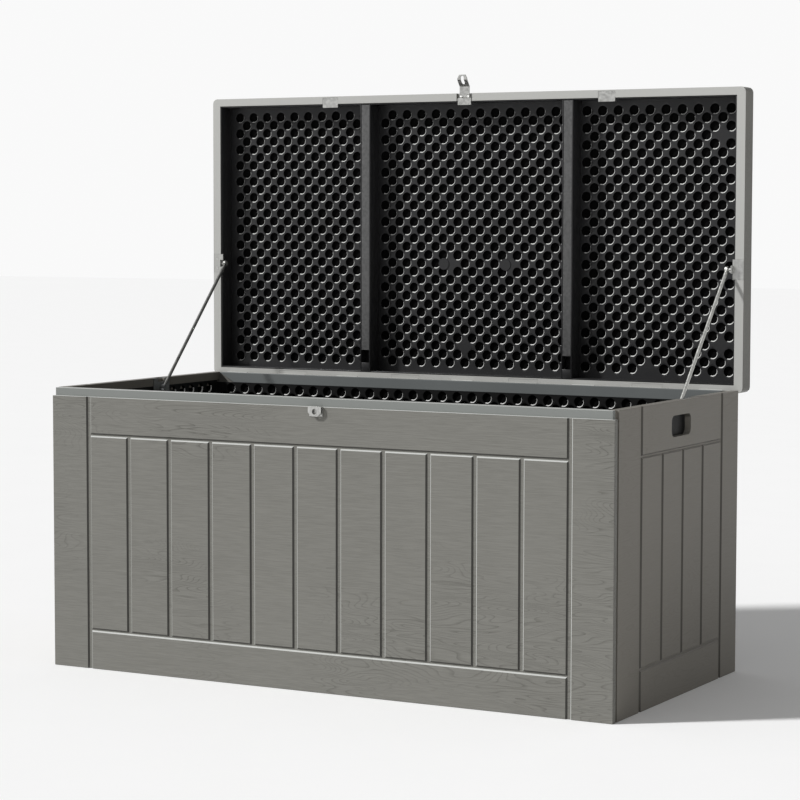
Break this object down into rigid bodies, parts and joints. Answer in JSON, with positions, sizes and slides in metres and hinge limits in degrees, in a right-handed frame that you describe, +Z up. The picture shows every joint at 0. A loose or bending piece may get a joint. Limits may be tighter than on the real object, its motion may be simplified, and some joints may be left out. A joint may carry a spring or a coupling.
{
  "type": "deck storage box",
  "caption": "Large plank-grooved plastic storage box with a hinged lid on two stays, hand holds, a fold-down hasp and a padlock staple.",
  "frame": {"origin": "middle of the base's underside, on the floor", "axes": "+X to the right seen from the front, +Y to the back, +Z up"},
  "size_m": [1.473, 0.783, 1.419],
  "materials": {
    "grey_front": "wood-grained",
    "grey_side": "wood-grained",
    "grey_rim": "smooth",
    "black": "satin",
    "steel": "plated",
    "dull_steel": "galvanised"
  },
  "bodies": {
    "box": {"base_panel": "black", "front_panel": "grey_front", "back_panel": "grey_side", "left_panel": "grey_side", "right_panel": "grey_side", "front_liner": "black", "back_liner": "black", "left_liner": "black", "right_liner": "black", "back_rail": "grey_rim", "staple": "steel", "staple_rivet_1": "dull_steel", "staple_rivet_2": "dull_steel", "hinge_rod": "steel", "lower_bracket_left": "dull_steel", "lower_bracket_right": "dull_steel", "lower_screw_left_1": "steel", "lower_screw_left_2": "steel", "lower_screw_right_1": "steel", "lower_screw_right_2": "steel"},
    "lid": {"lid_shell": "grey_front", "lid_liner": "black", "stiffener_bar_left": "dull_steel", "stiffener_bar_right": "dull_steel", "front_clip_left": "steel", "front_clip_right": "steel", "hinge_leaf_1": "grey_rim", "hinge_leaf_2": "grey_rim", "hinge_leaf_3": "grey_rim", "hinge_leaf_4": "grey_rim", "hasp_leaf": "steel", "hasp_pin": "dull_steel", "upper_bracket_left": "dull_steel", "upper_bracket_right": "dull_steel", "stay_pin_left": "steel", "stay_pin_right": "steel", "upper_screw_left_1": "steel", "upper_screw_left_2": "steel", "upper_screw_right_1": "steel", "upper_screw_right_2": "steel"},
    "hasp": {"hasp_strap": "steel"},
    "stay_left": {"stay_rod_left": "steel", "stay_collar_left": "dull_steel"},
    "stay_right": {"stay_rod_right": "steel", "stay_collar_right": "dull_steel"},
    "swivel_left": {"stay_swivel_left": "steel"},
    "swivel_right": {"stay_swivel_right": "steel"}
  },
  "joints": [
    {"name": "lid_hinge", "type": "hinge", "parent": "box", "child": "lid", "pos_m": [0, 0.354, 0.66], "axis": [1, 0, 0], "range_deg": [0, 90]},
    {"name": "stay_turn_left", "type": "hinge", "parent": "lid", "child": "stay_left", "pos_m": [-0.6965, 0.355, 0.948], "axis": [1, 0, 0], "range_deg": [-45, 0]},
    {"name": "stay_turn_right", "type": "hinge", "parent": "lid", "child": "stay_right", "pos_m": [0.6965, 0.355, 0.948], "axis": [1, 0, 0], "range_deg": [-45, 0]},
    {"name": "swivel_turn_left", "type": "hinge", "parent": "box", "child": "swivel_left", "pos_m": [-0.6965, 0.06656, 0.642], "axis": [1, 0, 0], "range_deg": [0, 45]},
    {"name": "swivel_turn_right", "type": "hinge", "parent": "box", "child": "swivel_right", "pos_m": [0.6965, 0.06656, 0.642], "axis": [1, 0, 0], "range_deg": [0, 45]},
    {"name": "hasp_fold", "type": "hinge", "parent": "lid", "child": "hasp", "pos_m": [0, 0.364, 1.366], "axis": [1, 0, 0], "range_deg": [0, 50]}
  ],
  "couplings": [
    {"joint": "stay_turn_left", "follows": "lid_hinge", "ratio": -0.5},
    {"joint": "stay_turn_right", "follows": "lid_hinge", "ratio": -0.5},
    {"joint": "swivel_turn_left", "follows": "lid_hinge", "ratio": 0.5},
    {"joint": "swivel_turn_right", "follows": "lid_hinge", "ratio": 0.5}
  ]
}
